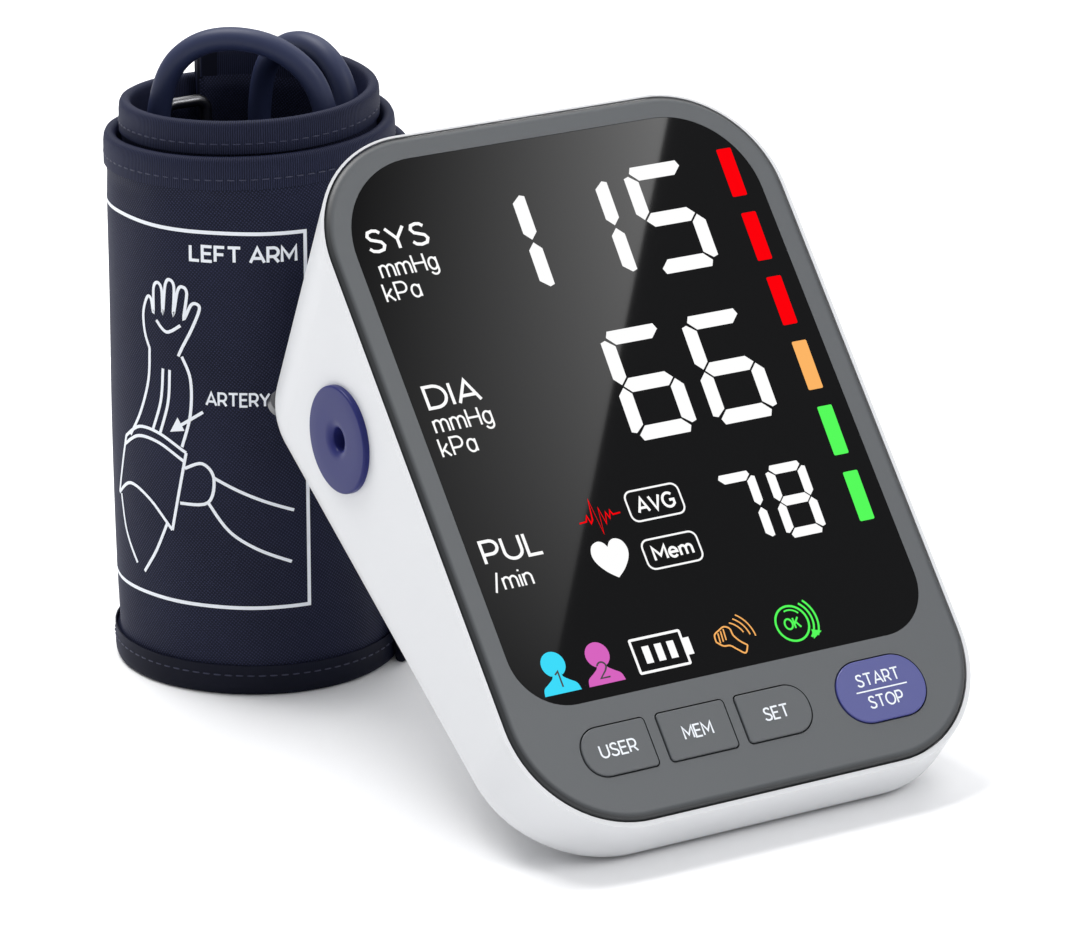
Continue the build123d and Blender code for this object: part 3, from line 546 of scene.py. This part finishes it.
def user_icons():
    for name, x, digit, colour in (("user_one", -36.3, "1", "lit_cyan"), ("user_two", -26.8, "2", "lit_pink")):
        d = Drawing()
        d.shape(bust(x, -39.6))
        legend(name, d, colour)
        number = Drawing()
        width = 1.1 if digit == "1" else 2.3
        write(number, digit, x - width / 2, x + width / 2, -42.2, 3.4, 0.34)
        legend(name + "_number", number, "black", lift=LEGEND_LIFT + LEGEND_T)


def state_icons():
    cell = Drawing()
    cell.box(-19.4, -8.6, -42.8, -36.2, 0.2, 0.5)
    cell.shape([(-8.4, -41.2), (-7.1, -41.2), (-7.1, -37.8), (-8.4, -37.8)])
    for i in range(3):
        x = -17.4 + 2.7 * i
        cell.shape([(x, -41.2), (x + 1.5, -41.2), (x + 1.5, -37.8), (x, -37.8)])
    legend("battery_icon", cell, "lit_white")

    wrist = Drawing()
    wrist.line(smooth([(-1.8, -40.0), (-1.6, -38.6), (-0.4, -37.9), (0.9, -37.4), (2.0, -38.0), (2.2, -39.4),
                       (3.2, -40.8), (4.4, -41.8)], 4), 0.3)
    wrist.line(smooth([(-1.8, -40.0), (-0.6, -41.0), (0.8, -41.2), (2.0, -42.2), (3.4, -43.2), (4.4, -41.8)], 4), 0.3)
    for i in range(3):
        wrist.line([(-1.0 + 0.7 * i, -40.4 + 0.2 * i), (-0.8 + 0.7 * i, -38.4 + 0.3 * i)], 0.26)
    for r, a0, a1 in ((4.0, 20, 68), (5.0, 8, 60), (6.0, 2, 56)):
        wrist.line(around(0.8, -40.6, r, r, a0, a1), 0.26)
    legend("movement_icon", wrist, "lit_orange")

    fit = Drawing()
    x, y = 15.3, -39.6
    fit.line(around(x, y, 3.5, 3.5, 0, 360, 36)[:-1], 0.42, closed=True)
    for r, a0, a1, steps, pen in ((2.7, 40, 108, 8, 0.3), (4.5, -48, 52, 12, 0.4), (5.5, -36, 46, 12, 0.4)):
        fit.line(around(x, y, r, r, a0, a1, steps), pen)
    fit.shape([(18.6, -43.4), (20.8, -42.2), (18.8, -41.5)])
    write(fit, "OK", 13.5, 17.1, -40.8, 2.4, 0.36)
    legend("fit_icon", fit, "lit_green")


def key_words():
    row = (("user_word", "USER", "user_key", -33.7, -25.7), ("mem_word", "MEM", "mem_key", -15.7, -9.3),
           ("set_word", "SET", "set_key", 2.0, 7.6))
    proud = span_along("mem_button", OUT)[1] - CENTRE.dot(OUT)
    for name, text, body, x0, x1 in row:
        d = Drawing()
        write(d, text, x0, x1, -57.0, 2.7, KEY_PEN)
        legend(name, d, "print", body, proud + LEGEND_LIFT)
    d = Drawing()
    write(d, "START", 23.6, 33.4, -54.7, 2.6, START_PEN)
    write(d, "STOP", 24.6, 32.4, -59.2, 2.6, START_PEN)
    d.line([(22.8, -55.6), (34.2, -55.6)], 0.26)
    legend("start_word", d, "print", "start_key", proud + LEGEND_LIFT)


# ---------------------------------------------------------------- cuff
CLOTH_SET_IN, SEAM_SET_IN, SWELL, FOLD = 0.34 * MM, 0.45 * MM, 0.3 * MM, 1.15 * MM
SEAM_REACH, FOLD_REACH = 9 * MM, 15 * MM         # how far from a binding the seam's pull and the folds die away
CLOTH_OUT = 0.12 * MM                            # the cloth never stands out further, so it clears the case
UNDER_TAPE = 0.35 * MM


def puckers(along, height, top):
    """How far the cloth is drawn in or out of the plain roll, in metres."""
    edge = min(height - BINDING_H, top - BINDING_H - height)
    near = math.exp(-max(edge, 0) / SEAM_REACH)
    soft = noise.noise(Vector((along * 36, height * 20, 3.1)))
    gather = math.exp(-max(edge, 0) / FOLD_REACH)
    folds = noise.noise(Vector((along * 75, height * 12, 7.7)))
    drawn = -CLOTH_SET_IN - SEAM_SET_IN * near + SWELL * soft + FOLD * gather * (1 - near * 0.5) * folds
    return min(drawn, CLOTH_OUT) if edge > 0 else -UNDER_TAPE


def top_at(travel):
    return ROLL_TOP + ROLL_CLIMB * travel / 360


def roll_point(travel, depth, height):
    """A point of the roll: degrees of travel from the flap's end, depth below the outer face, height."""
    r = ROLL_R - PITCH * travel / 360 - depth
    a = math.radians(FLAP_ANGLE + travel)
    return ROLL_AXIS + Vector((r * math.cos(a), r * math.sin(a), height))


def along_at(travel):
    """Length of cloth from the flap's end to that travel."""
    mean = ROLL_R - PITCH * travel / 720
    return math.radians(travel) * mean


ROLL_STEPS = int(SWEEP / 1.6)
HEM_FOOT, HEM_TOP = 0.8 * MM, 1.0 * MM           # the cloth stops this far inside its bindings


def sleeve():
    """The band's cloth as one closed skin, outer face and inner face, rolled up."""
    verts, uv = [], []
    steps, rows = ROLL_STEPS, 72
    for i in range(steps + 1):
        travel = SWEEP * i / steps
        top, along = top_at(travel) - HEM_TOP, along_at(travel)
        ends = min(1.0, min(travel, SWEEP - travel) / 1.2 + 0.25)
        heights = [HEM_FOOT + (top - HEM_FOOT) * j / rows for j in range(rows + 1)]
        for depth, column in ((0.0, heights), (BAND_T, heights[::-1])):
            for h in column:
                middle = BAND_T / 2
                d = middle + (depth - middle) * ends - puckers(along, h, top)
                verts.append(roll_point(travel, d, h))
                uv.append((along, h + (0.2 if depth else 0)))
    obj = mesh_piece("cuff_cloth", verts, ring_faces(steps + 1, 2 * (rows + 1)), "nylon", "cuff", uv)
    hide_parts("cuff_sleeve", "air_bladder")
    return obj


def binding(name, node, at_top):
    """Grosgrain tape folded over an edge of the roll, with a slight wave along its lower edge."""
    verts, uv = [], []
    steps = ROLL_STEPS
    profile = [(0.0, BINDING_H), (0.0, BINDING_H * 0.66), (0.0, BINDING_H * 0.33), (0.05, 1.0 * MM), (0.16, 0.35 * MM),
               (0.34, 0.06 * MM), (0.5, 0.0)]
    profile += [(1 - s, h) for s, h in profile[-2::-1]]
    inner = [(s + (0.11 if s < 0.5 else -0.11), h + 0.32 * MM if h < BINDING_H else h)
             for s, h in profile if h > 0.9 * MM]
    loop = profile + inner[::-1]
    for i in range(steps + 1):
        travel = SWEEP * i / steps
        top, along = top_at(travel), along_at(travel)
        wave = 0.16 * MM * noise.noise(Vector((along * 90, 1.5 if at_top else 9.5, 0)))
        for s, h in loop:
            depth = (s - 0.5) * (BAND_T + 2 * BINDING_T) + BAND_T / 2 + 0.2 * MM + wave
            height = top - h if at_top else h
            verts.append(roll_point(travel, depth, height))
            uv.append((along, height + s * 0.002))
    obj = mesh_piece(name, verts, ring_faces(steps + 1, len(loop)), "tape", "cuff", uv)
    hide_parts(node)
    return obj


def stitches(name, height_at, first, last):
    """A line of running stitches on the outer face of a binding."""
    verts, faces = [], []
    pitch, length, r = 2.5 * MM, 1.7 * MM, 0.17 * MM
    ring = 6
    travel = first
    while travel < last:
        radius = ROLL_R - PITCH * travel / 360
        turn = math.degrees(length / radius)
        start = len(verts)
        for k, (f, fat) in enumerate(((0, 0.3), (0.15, 0.9), (0.5, 1.0), (0.85, 0.9), (1, 0.3))):
            for j in range(ring):
                a = 2 * math.pi * j / ring
                depth = -BINDING_T + 0.12 * MM - r * fat * math.cos(a) * 0.9
                h = height_at(travel) + r * fat * math.sin(a)
                verts.append(roll_point(travel + turn * f, depth + 0.05 * MM, h))
        faces += ring_faces(5, ring, start=start)
        travel += math.degrees(pitch / radius)
    return mesh_piece(name, verts, faces, "thread", "cuff")


def end_tape(name, travel, inward):
    """Upright binding over an end of the band."""
    verts, uv = [], []
    rows = 60
    turn = math.degrees(6.0 * MM / ROLL_R) * inward
    profile = [(turn, -BINDING_T), (turn * 0.5, -BINDING_T), (turn * 0.12, -BINDING_T * 0.9),
               (-0.25 * inward, BAND_T * 0.2), (-0.45 * inward, BAND_T * 0.5), (-0.25 * inward, BAND_T * 0.8),
               (turn * 0.12, BAND_T + BINDING_T * 0.9), (turn * 0.5, BAND_T + BINDING_T),
               (turn, BAND_T + BINDING_T), (turn, BAND_T / 2)]
    for i in range(rows + 1):
        height = 0.4 * MM + (top_at(travel) - 0.2 * MM) * i / rows
        for t, depth in profile:
            verts.append(roll_point(travel + t, depth + 0.25 * MM, height))
            uv.append((height, math.radians(t) * ROLL_R + depth))
    return mesh_piece(name, verts, ring_faces(rows + 1, len(profile)), "tape", "cuff", uv)


def on_cuff(zero_travel):
    """Places a drawing in millimetres on the outer face: x is measured round the roll to the viewer's right."""
    def place(x, y, height):
        radius = ROLL_R - PITCH * zero_travel / 360
        travel = zero_travel + math.degrees(x * MM / radius)
        top = top_at(travel) - HEM_TOP
        lift = puckers(along_at(travel), y * MM, top) + 0.06 * MM + height
        return roll_point(travel, -lift, y * MM)
    return place


def cut_fine(drawing, longest):
    """Splits long quads of a drawing so that it can follow the roll."""
    out = []
    for o in drawing.outlines:
        if len(o) != 4:
            out.append(o)
            continue
        a, b, c, d = (Vector(p) for p in o)
        parts = max(1, math.ceil(max((b - a).length, (c - d).length) / longest))
        for i in range(parts):
            f, g = i / parts, (i + 1) / parts
            out.append([tuple(a.lerp(b, f)), tuple(a.lerp(b, g)), tuple(d.lerp(c, g)), tuple(d.lerp(c, f))])
    drawing.outlines = out


FRONT_TRAVEL = 288.0                             # travel of the roll that faces the viewer
FRAME_PEN, PRINT_PEN = 0.8, 0.7                  # millimetres, as all of the print
PRINT_T = 0.05 * MM


def cuff_print():
    """Generic fitting guide: a frame, an open hand and forearm wearing a cuff, a hand on its strap and an arrow."""
    d = Drawing()
    d.line([(-52, 105.5), (12.8, 105.5), (12.8, 20.5), (-52, 20.5)], FRAME_PEN)
    hand = [(-24.0, 77.4), (-25.4, 80.7), (-25.8, 85.1), (-24.5, 88.8), (-23.3, 88.8), (-22.6, 85.9),
            (-22.4, 91.4), (-21.2, 92.8), (-20.1, 91.4), (-19.9, 86.3), (-19.1, 92.5), (-18.0, 94.0),
            (-16.8, 92.5), (-17.1, 86.3), (-15.9, 91.8), (-14.7, 92.8), (-13.7, 91.4), (-14.5, 85.7),
            (-12.7, 89.0), (-11.2, 89.2), (-10.9, 87.8), (-12.8, 83.3), (-15.0, 79.2), (-16.1, 77.0)]
    curves = (
        hand,
        [(-24.0, 77.5), (-24.6, 70.0), (-27.5, 62.0), (-31.5, 55.8)],
        [(-15.2, 77.0), (-13.2, 72.0), (-13.4, 64.0), (-15.6, 56.4)],
        [(-21.8, 84.2), (-19.0, 82.0), (-15.4, 84.0)],
        [(-20.2, 73.5), (-21.0, 66.0), (-23.6, 58.8)],
        [(-18.4, 73.5), (-19.0, 66.0), (-21.4, 58.6)],
        [(-33.5, 55.0), (-28.0, 58.6), (-21.5, 58.4), (-14.6, 55.2)],
        [(-34.0, 53.0), (-28.3, 56.4), (-21.6, 56.2), (-14.9, 53.0)],
        [(-38.0, 40.5), (-32.0, 44.5), (-25.0, 42.5), (-18.6, 36.8)],
        [(-15.0, 51.6), (-10.8, 53.2), (-8.2, 50.2), (-9.6, 44.4), (-16.4, 43.4)],
        [(-8.2, 50.2), (-3.0, 47.6), (3.0, 45.0), (9.5, 42.6)],
        [(-9.6, 44.4), (-5.0, 38.2), (1.0, 34.2), (8.8, 30.8)],
        [(-36.8, 40.6), (-34.6, 33.0), (-30.0, 26.5)],
        [(-20.0, 38.0), (-23.4, 31.0), (-27.4, 25.2)],
    )
    for points in curves:
        d.line(smooth(points), PRINT_PEN)
    for ends in (((-33.5, 55.0), (-38.0, 40.5)), ((-14.6, 55.2), (-18.6, 36.8)), ((-10.4, 65.0), (-16.6, 60.8))):
        d.line(ends, PRINT_PEN)
    d.shape([(-18.6, 59.4), (-14.9, 60.2), (-16.6, 63.0)])
    write(d, "LEFT ARM", -13.0, 11.0, 98.8, 3.9, 0.66)
    write(d, "ARTERY", -9.8, 4.6, 66.5, 3.3, 0.5)
    cut_fine(d, 1.2)
    verts, faces = as_solid(d, on_cuff(FRONT_TRAVEL), PRINT_T)
    return mesh_piece("cuff_print", verts, faces, "print", "cuff")


def hose():
    curve = bpy.data.curves.new("air_hose_curve", "CURVE")
    curve.dimensions, curve.resolution_u, curve.bevel_depth, curve.bevel_resolution = "3D", 12, HOSE_D / 2, 8
    curve.use_fill_caps = True
    spline = curve.splines.new("NURBS")
    spline.points.add(len(HOSE_ROUTE) - 1)
    for point, (x, y, z) in zip(spline.points, HOSE_ROUTE):
        point.co = (*(CUFF_FOOT + Vector((x, y, z)) * MM), 1)
    spline.order_u = 3
    spline.use_endpoint_u = True
    curve.materials.append(MAT["hose"])
    obj = bpy.data.objects.new("hose", curve)
    bpy.context.scene.collection.objects.link(obj)
    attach(obj, "cuff")
    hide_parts("air_hose")
    return obj


# ---------------------------------------------------------------- air socket
def lathe(profile, origin, axis, side, steps=96):
    """Closed ring swept from a closed (radius, height) profile."""
    third = axis.cross(side)
    verts = []
    for i in range(steps):
        a = 2 * math.pi * i / steps
        out = side * math.cos(a) + third * math.sin(a)
        verts += [origin + out * r * MM + axis * h * MM for r, h in profile]
    return verts, ring_faces(steps, len(profile), closed_rows=True)


SOCKET_BORE, SOCKET_R, SOCKET_EDGE_R = 2.5, 11.5, 0.5          # millimetres, as the profiles below
SOCKET_BACK, STEM_R, STEM_BACK, STEM_BORE = -1.4, 7.8, -15.3, 3.0
DIP_WIDTH, DIP_DEPTH, LINER_FACE, LINER_BACK = 2.3, 1.0, -9.6, -12.9


def air_socket():
    """Disc that dips softly into its bore, round the place of the mount, with a pale liner deep inside."""
    axis = Vector((-1, 0, 0))
    side = UP.cross(axis).normalized()
    origin = mount("air_jack")
    origin.x = span_along("air_jack", RIGHT)[0]
    dip = [(SOCKET_BORE + DIP_WIDTH * (1 - math.cos(t)), -DIP_DEPTH * (1 - math.sin(t)))
           for t in [math.radians(9 * i) for i in range(11)]]
    rim_r = SOCKET_R - SOCKET_EDGE_R
    rim = [(rim_r + SOCKET_EDGE_R * math.sin(t), -SOCKET_EDGE_R + SOCKET_EDGE_R * math.cos(t))
           for t in [math.radians(15 * i) for i in range(7)]]
    profile = [(SOCKET_BORE, LINER_BACK), *dip, (8.0, 0.0), *rim, (SOCKET_R, SOCKET_BACK), (STEM_R, SOCKET_BACK),
               (STEM_R, STEM_BACK), (STEM_BORE, STEM_BACK), (STEM_BORE, LINER_BACK)]
    verts, faces = lathe(profile, origin, axis, side)
    obj = mesh_piece("air_socket", verts, faces, "jack", "monitor")
    obj.data.set_sharp_from_angle(angle=SOCKET_EDGE)
    liner = [(1.2, LINER_FACE), (2.48, -7.2), (2.48, -12.8), (1.2, -12.8)]
    verts, faces = lathe(liner, origin, axis, side, 48)
    mesh_piece("air_socket_liner", verts, faces, "frame", "monitor")
    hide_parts("air_jack")


# ---------------------------------------------------------------- stage, lights and camera
CAMERA_AZIMUTH, CAMERA_ELEVATION, LENS = -31.78, 18.62, 194.0
CAMERA_FROM_PANEL = Vector((-0.6272, -0.9688, 0.3851))


def view_axes(azimuth, elevation):
    a, e = math.radians(azimuth), math.radians(elevation)
    back = Vector((math.sin(a) * math.cos(e), -math.cos(a) * math.cos(e), math.sin(e)))
    right = Vector((math.cos(a), math.sin(a), 0))
    return right, back.cross(right), back


def make_camera():
    right, up, back = view_axes(CAMERA_AZIMUTH, CAMERA_ELEVATION)
    data = bpy.data.cameras.new("camera")
    data.lens, data.sensor_width = LENS, 36
    data.clip_start, data.clip_end = 0.05, 20
    cam = bpy.data.objects.new("camera", data)
    place = Matrix((right, up, back)).transposed().to_4x4()
    place.translation = CENTRE + CAMERA_FROM_PANEL
    cam.matrix_world = place
    bpy.context.scene.collection.objects.link(cam)
    bpy.context.scene.camera = cam


def softbox(name, place, target, size, power):
    data = bpy.data.lights.new(name, "AREA")
    data.shape, data.size, data.size_y, data.energy = "RECTANGLE", size[0], size[1], power
    light = bpy.data.objects.new(name, data)
    light.location = place
    light.rotation_mode = "QUATERNION"
    light.rotation_quaternion = (Vector(target) - Vector(place)).to_track_quat("-Z", "Y")
    bpy.context.scene.collection.objects.link(light)


def mirrored(x, y, distance):
    """Where the camera's sight line through a point of the panel goes on to, after the glass has turned it."""
    point = PANEL @ Vector((x * W, y * W, 0))
    ray = (point - (CENTRE + CAMERA_FROM_PANEL)).normalized()
    return point + distance * (ray - 2 * ray.dot(OUT) * OUT)


CARD_DISTANCE, CARD_STRENGTH, CARD_FADE = 1.3, 20.0, 1.6


def window_light():
    """Tall softbox whose straight edge shows in the display window as a slanting reflection that fades away."""
    places = ((-30.6, -29.5), (30.4, 64.3), (-42.0, 62.0))
    foot, head, side = (mirrored(x, y, CARD_DISTANCE) for x, y in places)
    along = (head - foot).normalized()
    across = (side - foot) - (side - foot).dot(along) * along
    across.normalize()
    length, width = 2.0 * (head - foot).length, 1.15 * (side - foot).dot(across)
    start = head + along * 0.35 * length
    corners = [start - along * length, start, start + across * width, start + across * width - along * length]
    mesh = bpy.data.meshes.new("window_light")
    mesh.from_pydata([tuple(c) for c in corners], [], [(0, 1, 2, 3)])
    layer = mesh.uv_layers.new(name="UVMap")
    for loop, uv in zip(mesh.loops, ((0, 0), (1, 0), (1, 1), (0, 1))):
        layer.data[loop.index].uv = uv
    m = bpy.data.materials.new("window_light")
    m.use_nodes = True
    n, l = m.node_tree.nodes, m.node_tree.links
    n.clear()
    uv, split, fade, power = (n.new(f"ShaderNode{k}") for k in ("UVMap", "SeparateXYZ", "Math", "Math"))
    both, glow_node, out = n.new("ShaderNodeMath"), n.new("ShaderNodeEmission"), n.new("ShaderNodeOutputMaterial")
    fade.operation, fade.inputs[0].default_value = "SUBTRACT", 1.0
    power.operation, power.inputs[1].default_value = "POWER", CARD_FADE
    both.operation = "MULTIPLY"
    lift = n.new("ShaderNodeMath")
    lift.operation, lift.inputs[1].default_value = "MULTIPLY", CARD_STRENGTH
    l.new(uv.outputs["UV"], split.inputs["Vector"])
    l.new(split.outputs["Y"], fade.inputs[1])
    l.new(fade.outputs["Value"], power.inputs[0])
    l.new(power.outputs["Value"], both.inputs[0])
    l.new(split.outputs["X"], both.inputs[1])
    l.new(both.outputs["Value"], lift.inputs[0])
    l.new(lift.outputs["Value"], glow_node.inputs["Strength"])
    l.new(glow_node.outputs["Emission"], out.inputs["Surface"])
    mesh.materials.append(m)
    card = bpy.data.objects.new("window_light", mesh)
    card.visible_camera = card.visible_shadow = card.visible_diffuse = False
    bpy.context.scene.collection.objects.link(card)


FLOOR_HALF = 6.0


def make_stage():
    """Pale floor, even sky and three softboxes."""
    mesh = bpy.data.meshes.new("floor")
    corners = [(x * FLOOR_HALF, y * FLOOR_HALF, 0) for x, y in ((-1, -1), (1, -1), (1, 1), (-1, 1))]
    mesh.from_pydata(corners, [], [(0, 1, 2, 3)])
    mesh.materials.append(plain("floor_pale", (0.93, 0.93, 0.935, 1), 0.7, Specular_IOR_Level=0.2))
    floor = bpy.data.objects.new("floor", mesh)
    bpy.context.scene.collection.objects.link(floor)
    world = bpy.data.worlds.new("studio")
    world.use_nodes = True
    sky = world.node_tree.nodes["Background"].inputs
    sky["Color"].default_value, sky["Strength"].default_value = (0.97, 0.98, 1.0, 1), 0.62
    bpy.context.scene.world = world
    softbox("key", (0.7, -1.3, 1.4), (0, 0, 0.06), (0.6, 0.6), 9)
    softbox("top", (-0.25, 0.7, 1.5), (-0.1, 0.1, 0.0), (0.9, 0.9), 26)
    softbox("floor_wash", (1.2, 1.0, 1.8), (0.3, 0.4, 0.0), (1.5, 1.5), 16)


# ---------------------------------------------------------------- build
dress_nodes()
readings()
level_bars()
row_labels()
pulse_icons()
user_icons()
state_icons()
key_words()
sleeve()
binding("top_tape", "top_binding", True)
binding("bottom_tape", "bottom_binding", False)
stitches("top_stitches", lambda t: top_at(t) - BINDING_H * 0.68, 4, SWEEP - 4)
stitches("bottom_stitches", lambda t: BINDING_H * 0.68, 4, SWEEP - 4)
end_tape("flap_tape", 0.0, 1)
end_tape("inner_tape", SWEEP, -1)
cuff_print()
hose()
air_socket()
make_stage()
window_light()
make_camera()
bpy.context.scene.view_settings.view_transform = "Standard"
